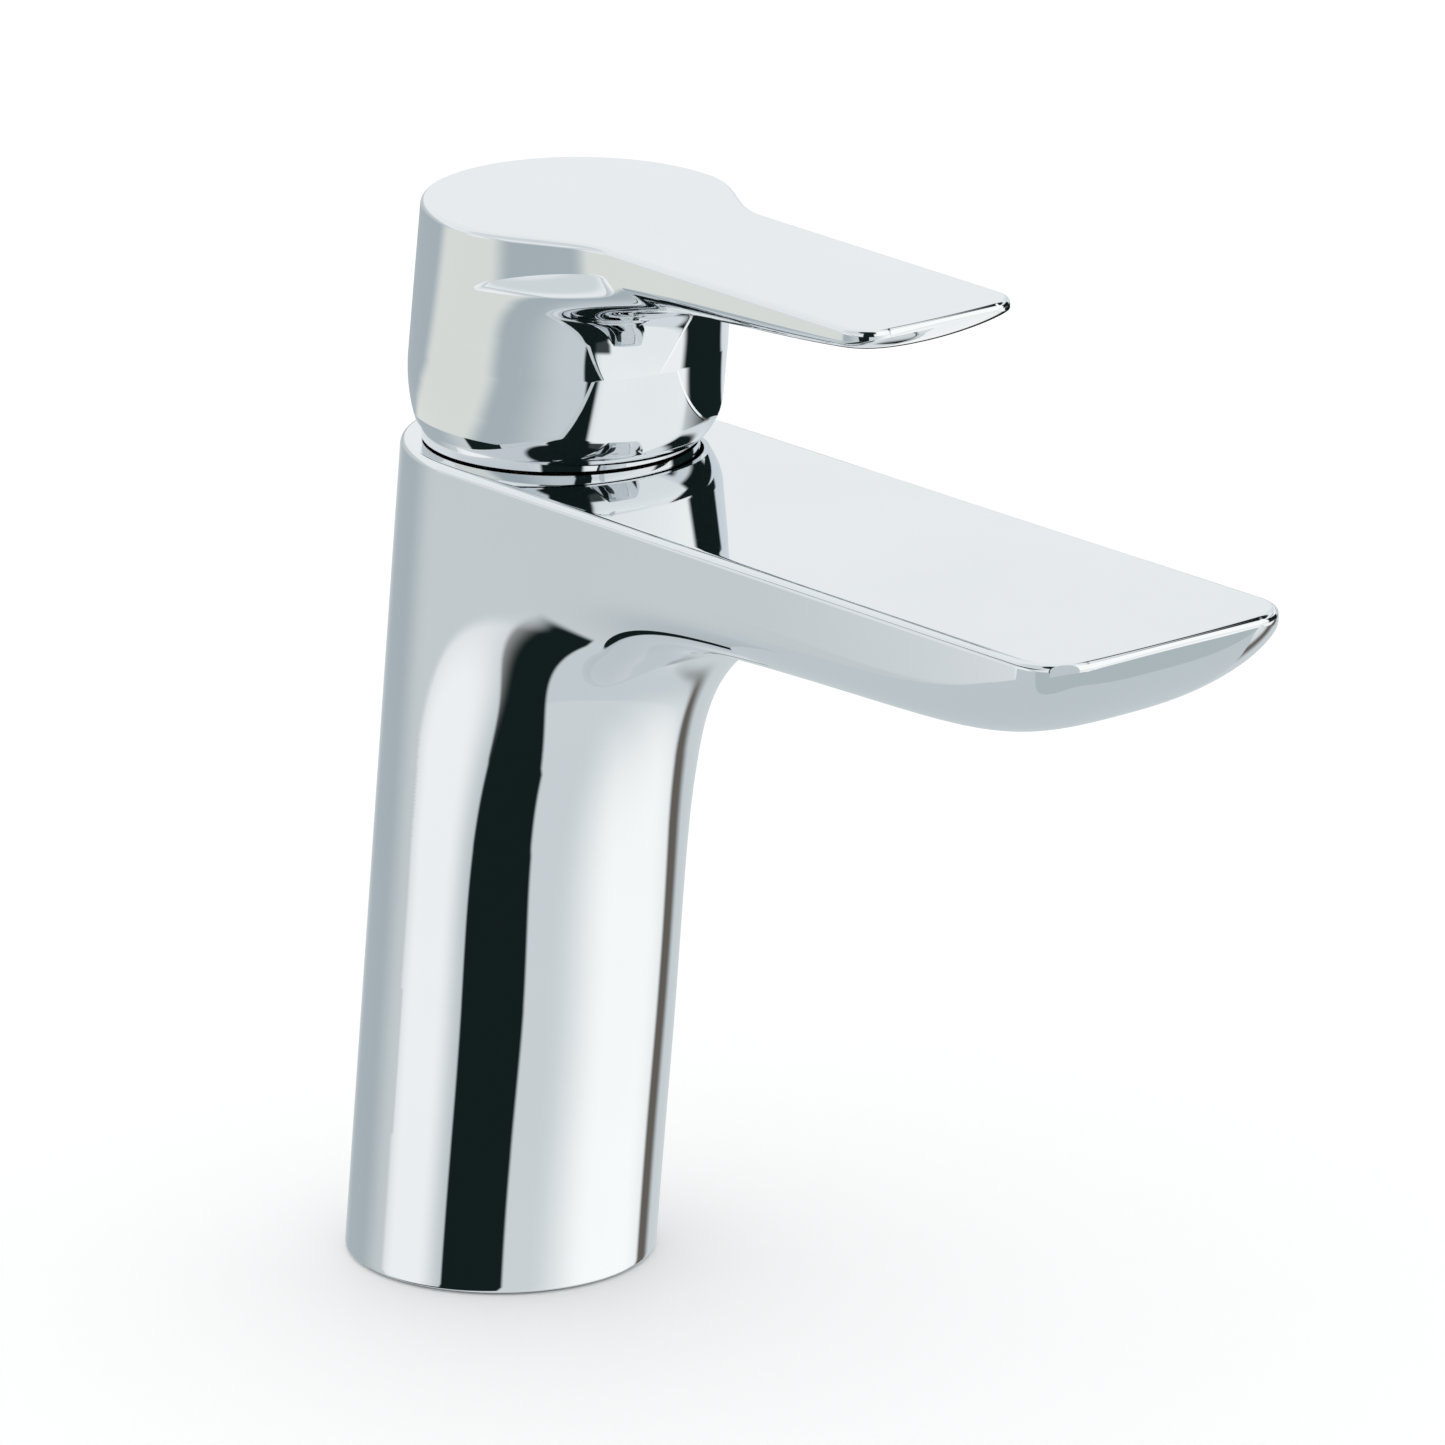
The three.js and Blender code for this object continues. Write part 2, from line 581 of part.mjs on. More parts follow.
function aeratorInsert() {
  const bottom = AERATOR_Z + 2.1;
  return sieve(7.5, bottom, bottom + 1.6, [{ count: 8, at: 5, holeR: 1 }]);
}

function flowRegulator() {
  const bottom = AERATOR_Z + 4;
  return sieve(7.2, bottom, bottom + 1.4, [{ count: 6, at: 4.2, holeR: 0.9 }]);
}

function aeratorSeal() {
  return ring(6.6, 8.8, AERATOR_Z + 6 + GAP, SOCKET_TOP_Z);
}

// ---- Assembly -----------------------------------------------------------------------------------------

function piece(name, geometry, material) {
  const mesh = new THREE.Mesh(geometry, material);
  mesh.name = name;
  return mesh;
}

/** A group of pieces that stand on an upright axis, a distance forward of the origin. */
function stack(fwd, pieces) {
  const group = new THREE.Group();
  group.position.y = -fwd;
  group.add(...pieces);
  return group;
}

const faucet = new THREE.Group();
faucet.add(
  piece('body_casting', bodyCasting(), chrome),
  piece('base_plate', basePlate(), brass),
  piece('base_gasket', baseGasket(), rubber),
  piece('handle', handle(), chrome),
  piece('grub_screw', grubScrew(), steel),
  piece('indicator_plug', indicatorPlug(), redPlastic),
  stack(AXIS_FWD, [
    piece('hot_inlet_seal', inletSeal(-1), rubber),
    piece('cold_inlet_seal', inletSeal(1), rubber),
    piece('cartridge_foot', cartridgeFoot(), whitePlastic),
    piece('port_gasket', portGasket(), rubber),
    piece('fixed_disc', fixedDisc(), ceramic),
    piece('moving_disc', movingDisc(), ceramic),
    piece('disc_carrier', discCarrier(), greyPlastic),
    piece('cartridge_housing', cartridgeHousing(), greyPlastic),
    piece('housing_oring', housingOring(), rubber),
    piece('turret', turret(), whitePlastic),
    piece('pivot_pin', pivotPin(), steel),
    piece('spindle', spindle(), steel),
    piece('limit_ring', limitRing(), redPlastic),
    piece('retaining_nut', retainingNut(), brass),
    piece('shroud', shroud(), chrome),
    piece('shroud_oring', shroudOring(), rubber),
  ]),
  stack(AERATOR_FWD, [
    piece('aerator_housing', aeratorHousing(), chrome),
    piece('aerator_mesh', aeratorMesh(), steel),
    piece('aerator_insert', aeratorInsert(), whitePlastic),
    piece('flow_regulator', flowRegulator(), greyPlastic),
    piece('aerator_seal', aeratorSeal(), rubber),
  ]),
);

export default faucet;
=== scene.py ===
import json
import math

import bmesh
import bpy
import numpy as np
from mathutils import Matrix, Vector


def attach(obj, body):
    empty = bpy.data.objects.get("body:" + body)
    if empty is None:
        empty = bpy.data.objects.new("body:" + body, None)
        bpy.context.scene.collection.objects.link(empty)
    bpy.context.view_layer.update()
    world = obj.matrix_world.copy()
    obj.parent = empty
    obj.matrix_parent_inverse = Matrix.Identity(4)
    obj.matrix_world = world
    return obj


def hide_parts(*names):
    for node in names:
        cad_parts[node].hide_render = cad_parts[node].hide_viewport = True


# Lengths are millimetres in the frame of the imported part, +Z up, unless a name or comment says metres.
# "fwd" is the distance towards the spout's tip, so y = -fwd, and points are [x, fwd, z].

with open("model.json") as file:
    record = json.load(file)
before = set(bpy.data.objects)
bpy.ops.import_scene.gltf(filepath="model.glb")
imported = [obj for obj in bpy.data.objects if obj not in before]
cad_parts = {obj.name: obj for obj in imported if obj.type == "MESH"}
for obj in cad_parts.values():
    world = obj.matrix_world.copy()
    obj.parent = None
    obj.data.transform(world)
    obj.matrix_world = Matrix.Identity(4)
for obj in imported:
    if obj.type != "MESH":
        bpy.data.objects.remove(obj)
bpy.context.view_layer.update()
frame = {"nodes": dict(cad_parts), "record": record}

MM = 0.001

# ---- Driving dimensions, as in the part's own source ---------------------------------------------------

LEAN = 0.112
COLUMN_R = 24
SPOUT_TOP_Z = 132.6
SPOUT_END = 151.5  # where the rounded corners of the tip end
TIP_CORNER_R = 7.5
TIP_BOW = 0.5
SPOUT_FULLNESS = 2.8
BEND_START_Z = 72
BACK_TOP_SIDE_Z = 93  # height of the side's edge on the ring that reaches the flat top at the back
FULL_FROM_FWD = 30
AXIS_FWD = LEAN * SPOUT_TOP_Z

PIVOT_Z = SPOUT_TOP_Z + 4
SHROUD_R = 21.2
SHROUD_WALL = 1.2
SHROUD_TOP_Z = 146
CUP_LEAN = 0.13
CUP_R = 23.9
CUP_RIM_R = 22.3
CUP_CAVITY_R = 21.6
CUP_STRAIGHT_Z = 148
ROUND_FRONT = 4
ROUND_BACK = 11
RIM_FRONT_Z = 134
RIM_SLOPE = 0.07
RIM_RELIEF = 2
HANDLE_TOP_Z = 170.6
HANDLE_FALL = 0.01
LEVER_HALF_WIDTH = 15.4
LEVER_END = 101.4
LEVER_CORNER_R = 5
LEVER_BOW = 0.4
GRUB_Z = 150

AERATOR_FWD = 124
SOCKET_R = 9.3
SOCKET_TOP_Z = 123.4

GAP = 0.3
EDGE_R = 1.1  # rounding of the spout's top edge
LEVER_EDGE_R = 0.85
FOOT_EDGE_R = 0.45
CAP_MARGIN = 0.35  # a narrow flat ring between a rounded edge and the cap inside it

TOP_BLEND_FWD = 60  # where the top edge no longer follows the leaning column
CUP_STRAIGHT_FWD = AXIS_FWD + CUP_LEAN * (CUP_STRAIGHT_Z - SPOUT_TOP_Z)

# Matching points of the flat side's edge and the middle of the underside, each fwd, z, fwd, z.
SPOUT_SKIN = [
    (8.1, 72, 32.1, 72),
    (10.8, 93, 36.7, 88),
    (17, 107.8, 42.6, 98.6),
    (26.9, 116.2, 50.6, 106),
    (41.1, 121.2, 61.6, 110.8),
    (68, 124.0, 77, 113.4),
    (100, 124.3, 102, 114.6),
    (122.8, 124.9, 123, 115.4),
    (133, 126.4, 133, 116.6),
    (140, 128.5, 140, 118.6),
    (145.6, 130.3, 145.6, 122.4),
    (149.5, 131.1, 149.6, 127.2),
    (151.5, 131.4, 151.7, 131.4),
]
LEVER_SKIN = [
    (CUP_STRAIGHT_FWD, CUP_STRAIGHT_Z, CUP_STRAIGHT_FWD + CUP_R, CUP_STRAIGHT_Z),
    (17.6, 154, 41.5, 153.6),
    (21, 160, 43.8, 157.6),
    (28, 163.6, 48, 159.6),
    (36, 165.3, 54, 160.4),
    (46, 166.2, 61, 160.9),
    (70, 166.7, 74, 162),
    (88, 167.2, 89, 163.6),
    (96.6, 167.7, 97, 165),
    (100, 168.1, 100.4, 166.8),
    (101.4, 168.4, 101.6, 168.4),
]


# ---- Curves and shares ----------------------------------------------------------------------------------

def smoothstep(value, low, high):
    share = np.clip((value - low) / (high - low), 0, 1)
    return share * share * (3 - 2 * share)


def faired(rows, samples, stiffness):
    """A fair curve close to the rows' points: least squares, with a penalty on changes of curvature."""
    points = np.array(rows, float)
    steps = np.diff(points, axis=0)
    walked = np.r_[0, np.cumsum(np.hypot(steps[:, 0], steps[:, 1]) + np.hypot(steps[:, 2], steps[:, 3]))]
    place = walked / walked[-1] * (samples - 1)
    below = np.minimum(place.astype(int), samples - 2)
    reading = np.zeros((len(points), samples))
    order = np.arange(len(points))
    reading[order, below] = 1 - (place - below)
    reading[order, below + 1] = place - below
    third = np.diff(np.eye(samples), 3, axis=0)
    weight = np.ones(len(points))
    weight[[0, -1]] = 1e6
    system = (reading.T * weight) @ reading + stiffness * third.T @ third
    return np.linalg.solve(system, (reading.T * weight) @ points)


def arc_shares(fullness, half_width, reach, steps):
    """Shares across and towards the middle, evenly spaced along an arc from the left edge to the right."""
    angle = np.linspace(-math.pi / 2, math.pi / 2, 40 * steps + 1)
    across = np.sign(angle) * np.abs(np.sin(angle)) ** (2 / fullness)
    middle = np.clip(np.cos(angle), 0, 1) ** (2 / fullness)
    walked = np.r_[0, np.cumsum(np.hypot(np.diff(across) * half_width, np.diff(middle) * reach))]
    even = np.linspace(0, walked[-1], steps + 1)
    return np.interp(even, walked, across), np.interp(even, walked, middle)


def rounded_end(fwd, half_width, end, radius):
    into = np.clip(fwd - (end - radius), 0, radius)
    return half_width - radius + np.sqrt(radius * radius - into * into)


# ---- Mesh building --------------------------------------------------------------------------------------

class Surface:
    """Vertices and faces in millimetres, gathered patch by patch."""

    def __init__(self):
        self.points = []
        self.faces = []

    def grid(self, rows, closed=False):
        """Quads between rows of points, each row of the same length."""
        rows = np.asarray(rows, float)
        start = len(self.points)
        count = rows.shape[1]
        self.points.extend(rows.reshape(-1, 3))
        for r in range(rows.shape[0] - 1):
            for k in range(count if closed else count - 1):
                a = start + r * count + k
                b = start + r * count + (k + 1) % count
                self.faces.append((a, b, b + count, a + count))

    def cap(self, loop):
        start = len(self.points)
        self.points.extend(np.asarray(loop, float))
        self.faces.append(tuple(range(start, start + len(loop))))

    def rounded_cap(self, wall, corner, inset, steps=8):
        """Closes a loop: a rounding from the wall's points past the corner's to an inset, and a flat cap."""
        kept = [i for i in range(len(wall)) if np.linalg.norm(corner[i] - corner[i - 1]) > 1e-3]
        wall, corner = wall[kept], corner[kept]
        along = np.roll(corner, -1, axis=0) - np.roll(corner, 1, axis=0)
        along[:, 2] = 0
        inward = np.stack([-along[:, 1], along[:, 0], np.zeros(len(along))], axis=1)
        inward /= np.linalg.norm(inward, axis=1)[:, None]
        if np.sum(inward * (corner.mean(axis=0) - corner)) < 0:
            inward = -inward
        flat = corner + inset * inward
        flat[:, 2] = corner[:, 2]
        up = corner - wall
        level = flat - corner
        cosine = np.sum(up * level, axis=1) / (np.linalg.norm(up, axis=1) * np.linalg.norm(level, axis=1))
        weight = np.sqrt((1 + np.clip(cosine, -1, 1)) / 2)[:, None]
        rows = []
        for share in np.linspace(0, 1, steps + 1):
            a, b, c = (1 - share) ** 2, 2 * weight * share * (1 - share), share ** 2
            rows.append((a * wall + b * corner + c * flat) / (a + b + c))
        rows.append(corner + (inset + CAP_MARGIN) * inward)
        self.grid(rows, closed=True)
        self.cap(rows[-1])

    def object(self, name):
        scaled = np.array(self.points) * [MM, -MM, MM]
        mesh = bpy.data.meshes.new(name)
        mesh.from_pydata(scaled.tolist(), [], self.faces)
        made = bmesh.new()
        made.from_mesh(mesh)
        bmesh.ops.remove_doubles(made, verts=made.verts, dist=2e-6)
        bmesh.ops.dissolve_degenerate(made, dist=1e-6, edges=made.edges)
        bmesh.ops.recalc_face_normals(made, faces=made.faces)
        made.to_mesh(mesh)
        made.free()
        obj = bpy.data.objects.new(name, mesh)
        bpy.context.scene.collection.objects.link(obj)
        return obj


def ring(radius, z, segments, x=0, fwd=0, slope=0):
    """A level ring of points; slope leans its centre forward as it rises."""
    angle = np.linspace(0, 2 * math.pi, segments, endpoint=False)
    return np.stack([
        x + radius * np.cos(angle), fwd + slope * z + radius * np.sin(angle), np.full(segments, float(z)),
    ], axis=1)


def turned(name, profile, segments=96, fwd=0):
    """A solid of revolution about an upright axis through a closed loop of [radius, z] points."""
    surface = Surface()
    surface.grid([ring(radius, z, segments, fwd=fwd) for radius, z in [*profile, profile[0]]], closed=True)
    return surface.object(name)


def drum(name, radius, bottom, top, x=0, fwd=0, segments=64, slope=0):
    """An upright or leaning cylinder."""
    surface = Surface()
    rows = [ring(radius, z, segments, x, fwd, slope) for z in (bottom, top)]
    surface.grid(rows, closed=True)
    surface.cap(rows[0])
    surface.cap(rows[1])
    return surface.object(name)


def bar(name, start, end, radius, segments=40):
    """A round bar between two [x, fwd, z] points."""
    start, end = np.array(start, float), np.array(end, float)
    along = (end - start) / np.linalg.norm(end - start)
    side = np.cross(along, [0.0, 0.0, 1.0] if abs(along[2]) < 0.9 else [1.0, 0.0, 0.0])
    side /= np.linalg.norm(side)
    other = np.cross(along, side)
    surface = Surface()
    angle = np.linspace(0, 2 * math.pi, segments, endpoint=False)[:, None]
    ring = radius * (np.cos(angle) * side + np.sin(angle) * other)
    surface.grid([start + ring, end + ring], closed=True)
    surface.cap(start + ring)
    surface.cap(end + ring)
    return surface.object(name)


def block(name, low, high):
    """A block between two [x, fwd, z] corners."""
    (x0, f0, z0), (x1, f1, z1) = low, high
    surface = Surface()
    loops = [[(x0, f0, z), (x1, f0, z), (x1, f1, z), (x0, f1, z)] for z in (z0, z1)]
    surface.grid(loops, closed=True)
    surface.cap(loops[0])
    surface.cap(loops[1])
    return surface.object(name)


def bake(obj):
    """Applies an object's modifiers."""
    bpy.context.view_layer.update()
    graph = bpy.context.evaluated_depsgraph_get()
    made = bpy.data.meshes.new_from_object(obj.evaluated_get(graph))
    obj.modifiers.clear()
    obj.data = made
    return obj


def cut_out(obj, others):
    """Cuts other objects out of obj, and removes them."""
    for other in others:
        cutter = obj.modifiers.new("cut_out", "BOOLEAN")
        cutter.operation = "DIFFERENCE"
        cutter.solver = "MANIFOLD"
        cutter.object = other
        bake(obj)
        bpy.data.objects.remove(other)
    return obj


def shade(obj, sharp_degrees=32):
    obj.data.shade_smooth()
    obj.data.set_sharp_from_angle(angle=math.radians(sharp_degrees))
    return obj


def weigh_normals(obj):
    weighting = obj.modifiers.new("weighted_normals", "WEIGHTED_NORMAL")
    weighting.mode = "FACE_AREA"
    weighting.weight = 60
    weighting.keep_sharp = True
    return obj


# ---- Skins of the body and the handle -------------------------------------------------------------------

ARC_STEPS = 72
BACK_STEPS = 72
RINGS = 420
CURVE_SAMPLES = 400
DENSE_SAMPLES = 6000
BODY_STIFFNESS = 2e4
HANDLE_STIFFNESS = 8e3
FOLD_CLEARANCE = 0.02  # keeps the front half's rings from folding behind the back half's
FLAT_SHARES = (1, 0.97, 0.5, 0.03)  # where the flat side has points, from its top end down
FLAT = len(FLAT_SHARES)


def even_rings(curve, half_widths, count):
    """Ring places along a dense curve, spaced evenly by how far the skin moves between them."""
    moved = np.diff(np.column_stack([curve, half_widths]), axis=0)
    walked = np.r_[0, np.cumsum(np.linalg.norm(moved, axis=1))]
    return np.interp(np.linspace(0, walked[-1], count), walked, np.arange(len(curve)))


def at(values, places):
    """Rows of an array read between its own rows."""
    index = np.arange(len(values))
    if values.ndim == 1:
        return np.interp(places, index, values)
    return np.stack([np.interp(places, index, column) for column in values.T], axis=1)


def front_row(half_width, side, keel, top, fullness):
    """One ring from its left top end, down the flat side, round the underside and up to the right top end."""
    across, middle = arc_shares(fullness, half_width, math.dist(side, keel), ARC_STEPS)
    arc = np.stack([
        half_width * across,
        side[0] + (keel[0] - side[0]) * middle,
        side[1] + (keel[1] - side[1]) * middle,
    ], axis=1)
    shares = np.array(FLAT_SHARES)[:, None]
    flat = np.array([side]) + (np.array([top]) - np.array([side])) * shares
    left = np.column_stack([np.full(FLAT, -half_width), flat])
    right = np.column_stack([np.full(FLAT, half_width), flat])[::-1]
    return np.vstack([left, arc, right])


def back_row(radius, centre, z):
    """Half a horizontal ring round the back, from its right end to its left one."""
    angle = np.linspace(math.pi / 2, -math.pi / 2, BACK_STEPS + 1)
    return np.stack([
        radius * np.sin(angle), centre - radius * np.cos(angle), np.full(len(angle), float(z)),
    ], axis=1)


def dense_curve(rows, stiffness):
    curve = faired(rows, CURVE_SAMPLES, stiffness)
    return at(curve, np.linspace(0, CURVE_SAMPLES - 1, DENSE_SAMPLES))


def top_edge(side_fwd, first, join_fwd, blended, end):
    """How far forward the top edge is for each place of the side's edge, up to its end."""
    spread = join_fwd + (side_fwd - first) * (blended - join_fwd) / (blended - first)
    return np.minimum(np.where(side_fwd < blended, spread, side_fwd), end)


def top_wall(back, front, top_ends):
    """The upper loop of a skin, the slice of it at the tip, and how near each tip point is to the middle."""
    right = np.array(top_ends)
    left = (right * [-1, 1, 1])[::-1]
    tip = front[-1][FLAT:-FLAT][::-1]
    wall = np.vstack([back[-1][::-1], right, tip, left])
    start = BACK_STEPS + 1 + len(right)
    at_tip = slice(start, start + len(tip))
    return wall, at_tip, np.clip(1 - (wall[at_tip, 0] / right[-1, 0]) ** 2, 0, 1)


def body_skin():
    """The column and the spout, with a rounded top edge."""
    straight = [(LEAN * z, z, LEAN * z + COLUMN_R, z) for z in (FOOT_EDGE_R, 24, 48)]
    dense = dense_curve(straight + SPOUT_SKIN, BODY_STIFFNESS)
    clear = FOLD_CLEARANCE * smoothstep(dense[:, 1], BEND_START_Z, BEND_START_Z + 4)
    dense[:, 0] = np.maximum(dense[:, 0], LEAN * dense[:, 1] + clear)
    back_i = int(np.argmin(np.abs(dense[:, 1] - BACK_TOP_SIDE_Z)))
    wall_top = SPOUT_TOP_Z - EDGE_R
    join_fwd = LEAN * wall_top
    top_fwd = top_edge(dense[:, 0], dense[back_i, 0], join_fwd, TOP_BLEND_FWD, SPOUT_END)
    widths = rounded_end(top_fwd, COLUMN_R, SPOUT_END, TIP_CORNER_R)
    places = even_rings(dense, 3 * widths, RINGS)
    places[np.argmin(np.abs(places - back_i))] = back_i
    surface = Surface()
    front, back, top_ends = [], [], []
    for place in places:
        side_f, side_z, keel_f, keel_z = at(dense, np.array([place]))[0]
        half_width = float(np.interp(place, np.arange(len(widths)), widths))
        filled = float(smoothstep(side_f, LEAN * BEND_START_Z, FULL_FROM_FWD))
        fullness = 2 + (SPOUT_FULLNESS - 2) * filled
        if place <= back_i:
            height = side_z
            if side_z > BEND_START_Z:
                climb = (side_z - BEND_START_Z) / (dense[back_i, 1] - BEND_START_Z)
                height = BEND_START_Z + climb * (wall_top - BEND_START_Z)
            top = (LEAN * height, height)
            back.append(back_row(COLUMN_R, LEAN * height, height))
        else:
            top = (float(np.interp(place, np.arange(len(top_fwd)), top_fwd)), max(wall_top, side_z))
        if place == places[-1]:
            top = (side_f, side_z)
        front.append(front_row(half_width, (side_f, side_z), (keel_f, keel_z), top, fullness))
        if place >= back_i:
            top_ends.append((half_width, *top))
    surface.grid(front)
    surface.grid(back)

    wall, at_tip, middle = top_wall(back, front, top_ends)
    corner = wall.copy()
    corner[:, 2] = SPOUT_TOP_Z
    corner[:, 1] += LEAN * EDGE_R * (1 - smoothstep(wall[:, 1], join_fwd, TOP_BLEND_FWD))
    corner[at_tip, 1] = SPOUT_END + TIP_BOW * middle
    surface.rounded_cap(wall, corner, EDGE_R)

    foot = np.vstack([front[0], back[0]])
    foot_corner = foot.copy()
    foot_corner[:, 2] = 0
    foot_corner[:, 1] -= LEAN * FOOT_EDGE_R
    surface.rounded_cap(foot, foot_corner, FOOT_EDGE_R, steps=4)
    return surface.object("body_casting_visual")


def handle_half_width(fwd, disc_centre):
    swept = smoothstep(fwd, disc_centre + 2, disc_centre + 24)
    return rounded_end(fwd, CUP_R + (LEVER_HALF_WIDTH - CUP_R) * swept, LEVER_END, LEVER_CORNER_R)


def cup_centre(z):
    return AXIS_FWD + CUP_LEAN * (z - SPOUT_TOP_Z)


def cup_edge_row(up):
    """A ring of the cup's rounded lower edge, at a share of the way up from the rim."""
    angle = np.linspace(-math.pi, math.pi, 2 * ARC_STEPS + 1)[:-1]
    back = (1 - np.cos(angle)) / 2
    slant = RIM_FRONT_Z + 2 * CUP_RIM_R * RIM_SLOPE * back
    rounding = ROUND_FRONT + (ROUND_BACK - ROUND_FRONT) * back
    low = slant + RIM_RELIEF * smoothstep(back, 0.82, 1)
    z = low + (slant + rounding - low) * up
    above = (z - slant) / rounding
    radius = CUP_R - (CUP_R - CUP_RIM_R) * (1 - above) ** 2
    return np.stack([radius * np.sin(angle), cup_centre(z) + radius * np.cos(angle), z], axis=1)


def handle_skin():
    """The cup and the lever, with a rounded top edge."""
    dense = dense_curve(LEVER_SKIN, HANDLE_STIFFNESS)
    clear = FOLD_CLEARANCE * smoothstep(dense[:, 1], CUP_STRAIGHT_Z, CUP_STRAIGHT_Z + 2)
    dense[:, 0] = np.maximum(dense[:, 0], cup_centre(dense[:, 1]) + clear)
    back_i = int(np.argmin(np.abs(dense[:, 1] - LEVER_SKIN[1][1])))
    disc_centre = cup_centre(HANDLE_TOP_Z)
    join_fwd = cup_centre(HANDLE_TOP_Z - LEVER_EDGE_R)
    blended = disc_centre + 2
    top_fwd = top_edge(dense[:, 0], dense[back_i, 0], join_fwd, blended, LEVER_END)
    widths = np.where(top_fwd < blended, CUP_R, handle_half_width(top_fwd, disc_centre))
    places = even_rings(dense, 3 * widths, RINGS)
    places[np.argmin(np.abs(places - back_i))] = back_i

    def wall_top(fwd):
        return HANDLE_TOP_Z - HANDLE_FALL * fwd - LEVER_EDGE_R

    surface = Surface()
    surface.grid([cup_edge_row(up) for up in np.linspace(0, 1, 25)], closed=True)
    front, back, top_ends = [], [], []
    for place in places:
        side_f, side_z, keel_f, keel_z = at(dense, np.array([place]))[0]
        half_width = float(np.interp(place, np.arange(len(widths)), widths))
        if place <= back_i:
            climb = (side_z - CUP_STRAIGHT_Z) / (dense[back_i, 1] - CUP_STRAIGHT_Z)
            height = CUP_STRAIGHT_Z + climb * (HANDLE_TOP_Z - LEVER_EDGE_R - CUP_STRAIGHT_Z)
            row = back_row(CUP_R, cup_centre(height), height)
            row[:, 2] -= climb * HANDLE_FALL * row[:, 1]
            back.append(row)
            top = (row[0, 1], row[0, 2])
        else:
            fwd = float(np.interp(place, np.arange(len(top_fwd)), top_fwd))
            top = (fwd, max(wall_top(fwd), side_z))
        if place == places[-1]:
            top = (side_f, side_z)
        front.append(front_row(half_width, (side_f, side_z), (keel_f, keel_z), top, 2))
        if place >= back_i:
            top_ends.append((half_width, *top))
    surface.grid(front)
    surface.grid(back)
    first_ring = np.vstack([front[0][FLAT:-FLAT], back[0][1:-1]])
    upper = cup_edge_row(1)
    order = np.argsort(np.arctan2(upper[:, 0], upper[:, 1] - cup_centre(CUP_STRAIGHT_Z)))
    turn = np.arctan2(first_ring[:, 0], first_ring[:, 1] - cup_centre(CUP_STRAIGHT_Z))
    surface.grid([upper[order], first_ring[np.argsort(turn)]], closed=True)

    wall, at_tip, middle = top_wall(back, front, top_ends)
    corner = wall.copy()
    corner[:, 1] += CUP_LEAN * LEVER_EDGE_R * (1 - smoothstep(wall[:, 1], join_fwd, join_fwd + 12))
    corner[at_tip, 1] = LEVER_END + LEVER_BOW * middle
    corner[:, 2] = HANDLE_TOP_Z - HANDLE_FALL * corner[:, 1]
    surface.rounded_cap(wall, corner, LEVER_EDGE_R)
    surface.cap(cup_edge_row(0))
    return surface.object("handle_visual")


# ---- Materials ------------------------------------------------------------------------------------------

def material(name, metallic, **sockets):
    made = bpy.data.materials.new(name)
    made.use_nodes = True
    shader = made.node_tree.nodes["Principled BSDF"]
    shader.inputs["Metallic"].default_value = metallic
    for socket, value in sockets.items():
        shader.inputs[socket.replace("_", " ")].default_value = value
    return made


def noise(tree, scale, detail=3.0, roughness=0.55, stretch=(1, 1, 1)):
    """A noise texture in the frame's own metres; returns its value socket."""
    place = tree.nodes.new("ShaderNodeTexCoord")
    mapping = tree.nodes.new("ShaderNodeMapping")
    mapping.inputs["Scale"].default_value = stretch
    texture = tree.nodes.new("ShaderNodeTexNoise")
    texture.inputs["Scale"].default_value = scale
    texture.inputs["Detail"].default_value = detail
    texture.inputs["Roughness"].default_value = roughness
    tree.links.new(place.outputs["Object"], mapping.inputs["Vector"])
    tree.links.new(mapping.outputs["Vector"], texture.inputs["Vector"])
    return texture.outputs["Fac"]


def span(tree, value, low, high, from_low=0.3, from_high=0.7):
    node = tree.nodes.new("ShaderNodeMapRange")
    node.inputs["From Min"].default_value = from_low
    node.inputs["From Max"].default_value = from_high
    node.inputs["To Min"].default_value = low
    node.inputs["To Max"].default_value = high
    tree.links.new(value, node.inputs["Value"])
    return node.outputs["Result"]


def ramp(tree, value, colors):
    """Colours spread evenly over a value from 0 to 1."""
    node = tree.nodes.new("ShaderNodeValToRGB")
    elements = node.color_ramp.elements
    while len(elements) < len(colors):
        elements.new(0.5)
    for i, color in enumerate(colors):
        elements[i].position = 0.25 + 0.5 * i / max(1, len(colors) - 1)
        elements[i].color = (*color, 1)
    tree.links.new(value, node.inputs["Fac"])
    return node.outputs["Color"]


def surface_detail(made, colors, rough, color_scale, rough_scale, bump_scale, bump, depth, stretch=(1, 1, 1)):
    """Procedural colour, roughness and bump for a material."""
    tree = made.node_tree
    shader = tree.nodes["Principled BSDF"]
    tree.links.new(ramp(tree, noise(tree, color_scale, stretch=stretch), colors), shader.inputs["Base Color"])
    tree.links.new(span(tree, noise(tree, rough_scale, stretch=stretch), *rough), shader.inputs["Roughness"])
    relief = tree.nodes.new("ShaderNodeBump")
    relief.inputs["Strength"].default_value = bump
    relief.inputs["Distance"].default_value = depth
    tree.links.new(noise(tree, bump_scale, stretch=stretch), relief.inputs["Height"])
    tree.links.new(relief.outputs["Normal"], shader.inputs["Normal"])
    return made


